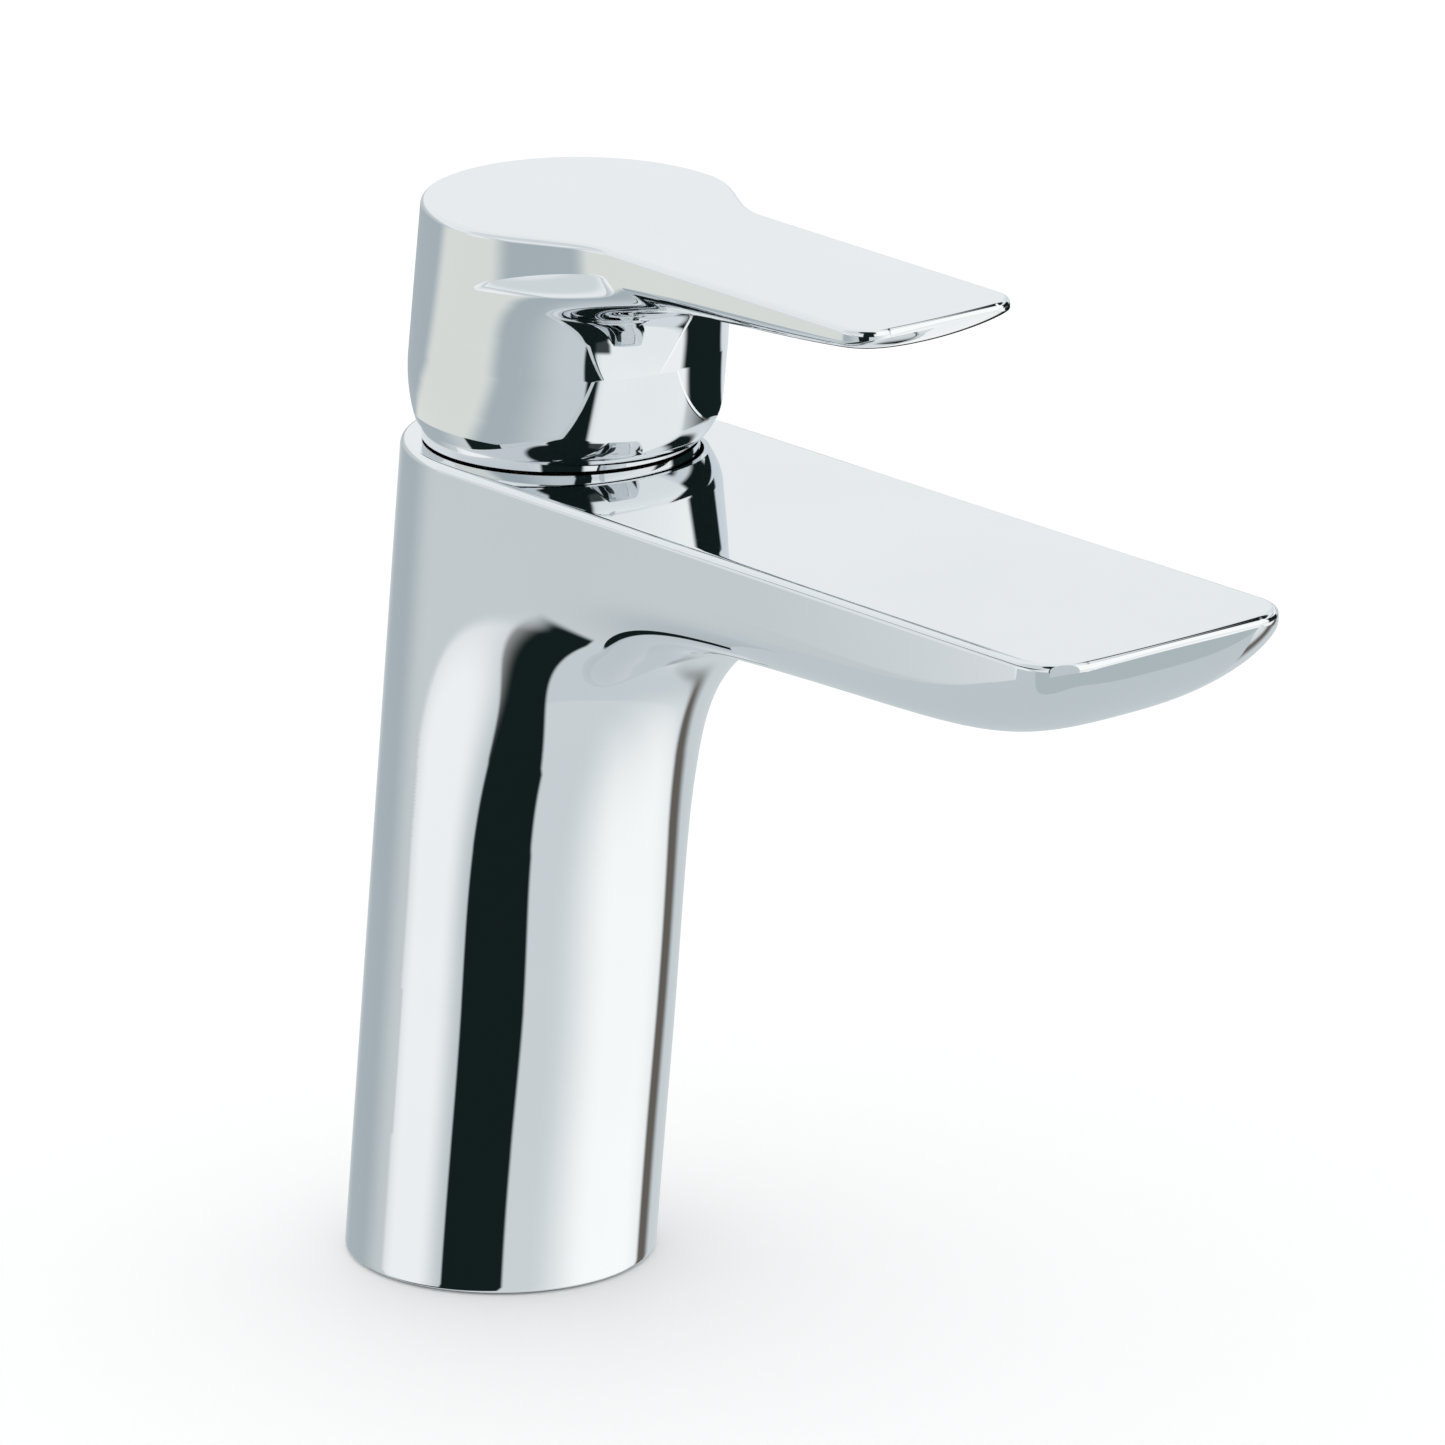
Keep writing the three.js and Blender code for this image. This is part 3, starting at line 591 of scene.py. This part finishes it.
chrome = surface_detail(
    material("chrome_plate", 1.0),
    colors=[(0.80, 0.825, 0.845), (0.84, 0.86, 0.875)],
    rough=(0.012, 0.03), color_scale=18, rough_scale=55, bump_scale=160, bump=0.03, depth=2e-5,
)
brass = surface_detail(
    material("turned_brass", 1.0),
    colors=[(0.62, 0.45, 0.17), (0.78, 0.60, 0.27)],
    rough=(0.22, 0.38), color_scale=60, rough_scale=300, bump_scale=900, bump=0.25, depth=6e-5,
)
steel = surface_detail(
    material("turned_steel", 1.0),
    colors=[(0.55, 0.56, 0.57), (0.68, 0.69, 0.70)],
    rough=(0.2, 0.34), color_scale=80, rough_scale=500, bump_scale=1500, bump=0.2, depth=4e-5,
)
ceramic = surface_detail(
    material("lapped_ceramic", 0.0),
    colors=[(0.86, 0.85, 0.82), (0.92, 0.91, 0.89)],
    rough=(0.12, 0.22), color_scale=50, rough_scale=400, bump_scale=1200, bump=0.05, depth=2e-5,
)
white_plastic = surface_detail(
    material("moulded_acetal", 0.0),
    colors=[(0.80, 0.79, 0.76), (0.87, 0.86, 0.83)],
    rough=(0.38, 0.52), color_scale=60, rough_scale=300, bump_scale=1500, bump=0.2, depth=5e-5,
)
grey_plastic = surface_detail(
    material("moulded_grey_plastic", 0.0),
    colors=[(0.20, 0.22, 0.25), (0.27, 0.30, 0.33)],
    rough=(0.42, 0.56), color_scale=60, rough_scale=300, bump_scale=1500, bump=0.25, depth=5e-5,
)
red_plastic = surface_detail(
    material("moulded_red_plastic", 0.0),
    colors=[(0.42, 0.025, 0.02), (0.52, 0.035, 0.03)],
    rough=(0.25, 0.4), color_scale=80, rough_scale=300, bump_scale=1500, bump=0.15, depth=4e-5,
)
rubber = surface_detail(
    material("moulded_rubber", 0.0),
    colors=[(0.014, 0.014, 0.015), (0.022, 0.022, 0.024)],
    rough=(0.55, 0.75), color_scale=70, rough_scale=300, bump_scale=1800, bump=0.35, depth=6e-5,
)
SLOT_MATERIALS = {
    "chrome": chrome,
    "handle_chrome": chrome,
    "brass": brass,
    "steel": steel,
    "ceramic": ceramic,
    "white_plastic": white_plastic,
    "grey_plastic": grey_plastic,
    "red_plastic": red_plastic,
    "rubber": rubber,
}


def place(obj, made, body, slot, *nodes):
    """Gives a new piece its material and its body, and hides the CAD nodes that it stands for; slot is not
    used.
    """
    obj.data.materials.clear()
    obj.data.materials.append(made)
    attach(obj, body)
    if nodes:
        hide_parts(*nodes)
    return obj


# ---- Pieces ---------------------------------------------------------------------------------------------

def body_tools():
    """The hollows of the casting: foot, groove, stud hole, cartridge bore, waterways and aerator socket."""
    cavity_r, cavity_top, inlet_top = 20, 80, 92
    bore_r, bore_floor, water_z = 17.8, 102.6, 121.4
    port_fwd = AXIS_FWD - 4.5
    inlet_fwd = LEAN * inlet_top
    outlet = AXIS_FWD + bore_r
    tools = [
        drum("cavity", cavity_r, -1, cavity_top - 2, segments=96, slope=LEAN),
        drum("ceiling", cavity_r - 1, cavity_top - 3, cavity_top, 0, LEAN * cavity_top, 96),
        turned("groove", [[21, -1], [23, -1], [23, 1.7], [21, 1.7]], segments=96),
        drum("stud", 3.9, cavity_top - 1, inlet_top, 0, 10 + LEAN * cavity_top, 40),
        drum("bore", bore_r, bore_floor, SPOUT_TOP_Z + 1, 0, AXIS_FWD, 96),
        block("gallery", (-5, outlet - 2, bore_floor + 1), (5, outlet + 2.6, water_z)),
        bar("waterway", (0, outlet - 2, water_z), (0, AERATOR_FWD, water_z), 3.2),
        block("chamber", (-17, 40, water_z - 2.8), (17, 110, SPOUT_TOP_Z - 4.4)),
        drum("socket", SOCKET_R, 100, SOCKET_TOP_Z, 0, AERATOR_FWD, 96),
    ]
    for hand in (-1, 1):
        inlet_x, port_x = hand * 9.5, hand * 6.5
        tools.append(drum("inlet", 5.2, cavity_top - 1, inlet_top, inlet_x, inlet_fwd, 48))
        port_ends = (inlet_x, inlet_fwd, inlet_top - 2), (port_x, port_fwd, bore_floor + 1)
        tools.append(bar("port", *port_ends, 2.9))
    return tools


def handle_tools():
    """The hollows of the handle: the room round its boss, the spindle's socket and the grub screw's hole."""
    angle = np.linspace(0, math.pi / 2, 40)
    dome = [[CUP_CAVITY_R * math.cos(a), PIVOT_Z + CUP_CAVITY_R * math.sin(a)] for a in angle[:-1]]
    surface = Surface()
    rows = [ring(radius, z, 128, fwd=AXIS_FWD) for radius, z in [[CUP_CAVITY_R, SPOUT_TOP_Z - 2], *dome]]
    surface.grid(rows, closed=True)
    surface.cap(rows[0])
    surface.cap(rows[-1])
    room = surface.object("room")
    cut_out(room, [drum("boss", 7.5, 145, 165, 0, AXIS_FWD, 64)])
    return [
        room,
        block("spindle_socket", (-4.3, AXIS_FWD - 4.3, 144), (4.3, AXIS_FWD + 4.3, 153.6)),
        bar("screw_hole", (0, -12, GRUB_Z), (0, AXIS_FWD - 3, GRUB_Z), 2.8),
    ]


body = cut_out(body_skin(), body_tools())
weigh_normals(shade(body))
place(body, chrome, "faucet_body", "chrome", "body_casting")

handle = cut_out(handle_skin(), handle_tools())
weigh_normals(shade(handle))
place(handle, chrome, "lever_body", "handle_chrome", "handle")


def dome_profile(radius, start_z, end_z, steps):
    low = math.asin((start_z - PIVOT_Z) / radius)
    high = math.asin((end_z - PIVOT_Z) / radius)
    return [[radius * math.cos(a), PIVOT_Z + radius * math.sin(a)] for a in np.linspace(low, high, steps + 1)]


shroud = turned(
    "shroud_visual",
    dome_profile(SHROUD_R, SPOUT_TOP_Z + GAP, SHROUD_TOP_Z, 32)
    + dome_profile(SHROUD_R - SHROUD_WALL, SHROUD_TOP_Z, SPOUT_TOP_Z + GAP, 24),
    segments=128, fwd=AXIS_FWD,
)
weigh_normals(shade(shroud))
place(shroud, chrome, "faucet_body", "chrome", "shroud")

for subpart in frame["record"]["subparts"]:
    node = frame["nodes"][subpart["node"]]
    if not node.hide_render:
        node.data.materials.clear()
        node.data.materials.append(SLOT_MATERIALS[subpart["material_slot"]])
        shade(node, 40)

# ---- Floor, light and camera ----------------------------------------------------------------------------

FLOOR_SIZE = 6  # metres
FLOOR_Z = -0.0004

floor_mesh = bpy.data.meshes.new("floor")
grid = bmesh.new()
bmesh.ops.create_grid(grid, x_segments=8, y_segments=8, size=FLOOR_SIZE)
grid.to_mesh(floor_mesh)
grid.free()
floor = bpy.data.objects.new("floor", floor_mesh)
floor.location.z = FLOOR_Z
bpy.context.scene.collection.objects.link(floor)
floor_mesh.materials.append(surface_detail(
    material("pale_floor", 0.0),
    colors=[(0.965, 0.965, 0.965), (0.98, 0.98, 0.98)],
    rough=(0.6, 0.7), color_scale=2, rough_scale=5, bump_scale=40, bump=0.02, depth=1e-4,
))
floor.visible_glossy = False

# Painted reflections: what seems to stand around the tap, as the chrome sees it, is painted into the sky by
# direction and shown to glossy rays alone, each thing in front of those before it. Directions are in degrees:
# azimuth 0 is where the spout points, 90 is +X, and the height is above level. A panel is as wide and high as
# its azimuths and heights say, a disc has a middle and a radius, and "soft" blurs their edges.
# Places and colours are rounded from a fit to the shades that the chrome shows in the photo.
WHITE, BLACK, SKY = (1.02, 1.02, 1.02), (0.008, 0.015, 0.015), (0.93, 0.95, 0.96)
GREY_BLUE, PALE_BLUE, PALE_GREY = (0.44, 0.50, 0.53), (0.76, 0.81, 0.85), (0.64, 0.69, 0.71)
STUDIO_LIGHT = (1.1, 1.1, 1.1)
PAINTED_SURROUNDINGS = {
    "back wall": dict(color=GREY_BLUE, heights=(-100, -9), soft=5),
    "table": dict(color=PALE_GREY, heights=(-100, -34), soft=14),
    "front wall": dict(color=(0.70, 0.74, 0.76), azimuths=(-92, 88), heights=(-100, 0), soft=4),
    "front window": dict(color=(1.12, 1.12, 1.10), azimuths=(4, 88), heights=(-56, 0), soft=26),
    "right wall": dict(color=PALE_BLUE, azimuths=(86, 146), heights=(-42, -5), soft=5),
    "right ring": dict(color=(0.14, 0.125, 0.11), middle=(110, -24), radius=23, soft=2.5),
    "right disc": dict(color=PALE_GREY, middle=(119, -26), radius=17.5, soft=5),
    "left flag": dict(
        color=BLACK, azimuths=(-184, -37), heights=(-90, -12), middle=(-118, 30), radius=95.5, soft=1.2,
    ),
    "left disc": dict(color=(0.60, 0.65, 0.67), middle=(-113, -13), radius=28, soft=1.0),
    "left lamp": dict(color=WHITE, middle=(-117, -15), radius=22, soft=10),
    "rear disc": dict(color=(0.645, 0.685, 0.695), middle=(180, -21), radius=39.5, soft=1.2),
    "rear shade": dict(color=GREY_BLUE, middle=(180, -24), radius=25, soft=13),
    "front screen": dict(color=(1.15, 1.15, 1.12), azimuths=(-18, 62), heights=(4, 75), soft=4),
    "left screen": dict(color=(0.74, 0.78, 0.80), azimuths=(-142, -60), heights=(24, 88), soft=12),
    "shaded corner": dict(color=(0.06, 0.07, 0.07), azimuths=(-24, -8), heights=(36, 72), soft=2),
    "tall flag": dict(color=BLACK, azimuths=(-57, -20), heights=(-14, 66), soft=2),
    "overhead flag": dict(color=BLACK, middle=(-42, 66), radius=21, soft=2),
    "high flag": dict(color=BLACK, azimuths=(63, 102), heights=(-12, 24), soft=3),
    "far flag": dict(color=BLACK, azimuths=(68, 126), heights=(35, 49), soft=3),
    "blue screen": dict(color=PALE_BLUE, azimuths=(102, 134), heights=(-6, 26), soft=4),
}


def step(tree, value, low, high):
    """A soft step, from 0 at low to 1 at high."""
    node = tree.nodes.new("ShaderNodeMapRange")
    node.interpolation_type = "SMOOTHSTEP"
    node.inputs["From Min"].default_value, node.inputs["From Max"].default_value = low, high
    if low > high:
        node.inputs["From Min"].default_value, node.inputs["From Max"].default_value = high, low
        node.inputs["To Min"].default_value, node.inputs["To Max"].default_value = 1, 0
    tree.links.new(value, node.inputs["Value"])
    return node.outputs["Result"]


def between(tree, value, limits, soft):
    """1 between two values and 0 outside."""
    low, high = limits
    above = step(tree, value, low - soft, low + soft)
    below = step(tree, value, high + soft, high - soft)
    return calculate(tree, "MULTIPLY", above, below)


def calculate(tree, operation, *values):
    node = tree.nodes.new("ShaderNodeMath")
    node.operation = operation
    for socket, value in zip(node.inputs, values):
        if isinstance(value, (int, float)):
            socket.default_value = value
        else:
            tree.links.new(value, socket)
    return node.outputs["Value"]


def mix(tree, factor, first, second):
    node = tree.nodes.new("ShaderNodeMix")
    node.data_type = "RGBA"
    tree.links.new(factor, node.inputs["Factor"])
    for socket, color in ((node.inputs[6], first), (node.inputs[7], second)):
        if isinstance(color, tuple):
            socket.default_value = (*color, 1)
        else:
            tree.links.new(color, socket)
    return node.outputs[2]


def toward(azimuth, height):
    """The unit vector of a direction."""
    azimuth, height = math.radians(azimuth), math.radians(height)
    return Vector((
        math.sin(azimuth) * math.cos(height), -math.cos(azimuth) * math.cos(height), math.sin(height),
    ))


def azimuth_of(tree, vector):
    """The azimuth of a vector in degrees, and its separate parts."""
    parts = tree.nodes.new("ShaderNodeSeparateXYZ")
    tree.links.new(vector, parts.inputs["Vector"])
    forward = calculate(tree, "MULTIPLY", parts.outputs["Y"], -1)
    return calculate(tree, "DEGREES", calculate(tree, "ARCTAN2", parts.outputs["X"], forward)), parts


def painted_reflection_colors(tree):
    """The painted reflection: the colours of the surroundings by direction."""
    direction = tree.nodes.new("ShaderNodeTexCoord").outputs["Generated"]
    azimuth, parts = azimuth_of(tree, direction)
    height = calculate(tree, "DEGREES", calculate(tree, "ARCSINE", parts.outputs["Z"]))
    color = SKY
    for thing in PAINTED_SURROUNDINGS.values():
        soft = thing["soft"]
        masks = []
        if "azimuths" in thing:
            masks.append(between(tree, azimuth, thing["azimuths"], soft))
        if "heights" in thing:
            masks.append(between(tree, height, thing["heights"], soft))
        if "middle" in thing:
            node = tree.nodes.new("ShaderNodeVectorMath")
            node.operation = "DOT_PRODUCT"
            node.inputs[1].default_value = toward(*thing["middle"])
            tree.links.new(direction, node.inputs[0])
            away = calculate(tree, "DEGREES", calculate(tree, "ARCCOSINE", node.outputs["Value"]))
            masks.append(step(tree, away, thing["radius"] + soft, thing["radius"] - soft))
        while len(masks) > 1:
            masks.append(calculate(tree, "MULTIPLY", masks.pop(), masks.pop()))
        color = mix(tree, masks[0], color, thing["color"])
    return color


def light_studio():
    """Even white light for the floor and the view; glossy rays alone see the surroundings, a painted
    reflection.
    """
    world = bpy.data.worlds.new("studio")
    bpy.context.scene.world = world
    world.use_nodes = True
    tree = world.node_tree
    reflected = tree.nodes.new("ShaderNodeLightPath").outputs["Is Glossy Ray"]
    color = mix(tree, reflected, STUDIO_LIGHT, painted_reflection_colors(tree))
    tree.links.new(color, tree.nodes["Background"].inputs["Color"])


light_studio()

# Painted reflections: glowing cards close to the tap, which only its reflections show: a collar round the cup
# with these panels, three level cards under the spout and beside the column, and a small round patch by the
# spout's near corner.
COLLAR_PANELS = {
    "left reflector": dict(color=(0.80, 0.82, 0.78), azimuths=(-145, -85), soft=7),
    "front wall": dict(color=PALE_GREY, azimuths=(-55, 0), soft=15),
    "front lamp": dict(color=WHITE, azimuths=(0, 60), soft=15),
    "front flag": dict(color=BLACK, azimuths=(-30, -15), soft=1),
    "right flag": dict(color=BLACK, azimuths=(35, 80), soft=3),
    "right wall": dict(color=PALE_BLUE, azimuths=(80, 135), soft=4),
    "right lamp": dict(color=WHITE, azimuths=(120, 135), soft=6),
}


def card(name, rows, paint):
    """A card that glows by itself to paint a reflection, hidden from the view, from diffuse light and from
    shadows; paint(tree) gives its colour.
    """
    surface = Surface()
    surface.grid(rows)
    made = material(name, 0.0, Roughness=1.0, Emission_Strength=1.0)
    tree = made.node_tree
    shader = tree.nodes["Principled BSDF"]
    shader.inputs["Base Color"].default_value = (0, 0, 0, 1)
    shader.inputs["Specular IOR Level"].default_value = 0
    tree.links.new(paint(tree), shader.inputs["Emission Color"])
    obj = surface.object(name)
    obj.data.materials.append(made)
    obj.visible_camera = obj.visible_diffuse = obj.visible_shadow = obj.visible_transmission = False


def collar_reflection_paint(tree):
    """The collar's painted reflection: its panels round the cup's axis, each in front of those before it."""
    middle = tree.nodes.new("ShaderNodeMapping")
    middle.inputs["Location"].default_value = (0, AXIS_FWD * MM, 0)
    tree.links.new(tree.nodes.new("ShaderNodeTexCoord").outputs["Object"], middle.inputs["Vector"])
    azimuth, _ = azimuth_of(tree, middle.outputs["Vector"])
    color = GREY_BLUE
    for panel in COLLAR_PANELS.values():
        color = mix(tree, between(tree, azimuth, panel["azimuths"], panel["soft"]), color, panel["color"])
    return color


# Painted reflections for the level cards and the tip patch: a pale one, and a darker one that paints shade,
# each with a little noise.
def pale_reflection_paint(tree):
    return ramp(tree, noise(tree, 4), [(0.62, 0.67, 0.69), (0.58, 0.64, 0.66)])


def shaded_reflection_paint(tree):
    return ramp(tree, noise(tree, 4), [(0.50, 0.565, 0.58), (0.48, 0.545, 0.56)])


COLLAR_OPENING = 17  # degrees each side of the spout that the collar leaves open
COLLAR_INNER_R, COLLAR_RAISED, COLLAR_OUTER_R = 27, 30, 150
COLLAR_SIDE_X = 25.5  # the collar stays this far from the spout's middle plane
COLLAR_HEIGHTS = 132, 134.5, 143
CARD_LEFT_X, CARD_RIGHT_X, SIDE_CARD_RIGHT_X = -200, 60, -60
SPOUT_CARD_Z, SIDE_CARD_Z = 84, 72
TIP_PATCH_X, TIP_PATCH_FWD, TIP_PATCH_Z, TIP_PATCH_R = -14, 146, 131, 14


def collar_rows():
    turn = np.radians(np.linspace(COLLAR_OPENING, 360 - COLLAR_OPENING, 240))
    beside = np.where(np.cos(turn) > 0, COLLAR_SIDE_X / np.abs(np.sin(turn)), 0)
    inner = np.maximum(COLLAR_INNER_R, beside)
    return [
        np.stack([radius * np.sin(turn), AXIS_FWD + radius * np.cos(turn), np.full(len(turn), z)], axis=1)
        for radius, z in zip((inner, inner + COLLAR_RAISED, COLLAR_OUTER_R), map(float, COLLAR_HEIGHTS))
    ]


def level_rows(right_x, z, forwards):
    return [[(CARD_LEFT_X, fwd, z), (right_x, fwd, z)] for fwd in forwards]


def tip_patch_rows():
    turn = np.radians(np.linspace(-64, -12, 12))
    rows = []
    for up in np.radians(np.linspace(-10, 80, 12)):
        radius = TIP_PATCH_R * math.cos(up)
        rows.append(np.stack([
            TIP_PATCH_X + radius * np.sin(turn), TIP_PATCH_FWD + radius * np.cos(turn),
            np.full(len(turn), TIP_PATCH_Z + TIP_PATCH_R * math.sin(up)),
        ], axis=1))
    return rows


card("cup_collar_reflection", collar_rows(), collar_reflection_paint)
card("spout_reflection_card", level_rows(CARD_RIGHT_X, SPOUT_CARD_Z, (45, 100, 155)), pale_reflection_paint)
card("front_reflection_card", level_rows(CARD_RIGHT_X, SPOUT_CARD_Z, (155, 200, 260)), shaded_reflection_paint)
card("side_reflection_card", level_rows(SIDE_CARD_RIGHT_X, SIDE_CARD_Z, (10, 100, 220)), pale_reflection_paint)
card("tip_reflection_card", tip_patch_rows(), pale_reflection_paint)

CAMERA_AZIMUTH = -0.7098  # radians
CAMERA_ELEVATION = 0.3069
CAMERA_ROLL = 0.0016
CAMERA_DISTANCE = 1.8923  # metres
CAMERA_LENS = 309.85
CAMERA_AIM_Z = 0.085  # metres, then how far right of and above it the middle of the picture is
CAMERA_AIM_RIGHT = 0.0340758
CAMERA_AIM_UP = -0.0011807
back = Vector((
    math.sin(CAMERA_AZIMUTH) * math.cos(CAMERA_ELEVATION),
    -math.cos(CAMERA_AZIMUTH) * math.cos(CAMERA_ELEVATION),
    math.sin(CAMERA_ELEVATION),
))
right = Vector((math.cos(CAMERA_AZIMUTH), math.sin(CAMERA_AZIMUTH), 0))
up = back.cross(right)
target = Vector((0, 0, CAMERA_AIM_Z)) + CAMERA_AIM_RIGHT * right + CAMERA_AIM_UP * up
camera_data = bpy.data.cameras.new("camera")
camera_data.lens = CAMERA_LENS
camera_data.sensor_width = 36
camera_data.clip_end = 50
camera = bpy.data.objects.new("camera", camera_data)
camera.location = target + back * CAMERA_DISTANCE
turn = Matrix((right, up, back)).transposed() @ Matrix.Rotation(CAMERA_ROLL, 3, "Z")
camera.rotation_euler = turn.to_euler()
bpy.context.scene.collection.objects.link(camera)
bpy.context.scene.camera = camera
bpy.context.scene.view_settings.view_transform = "Standard"
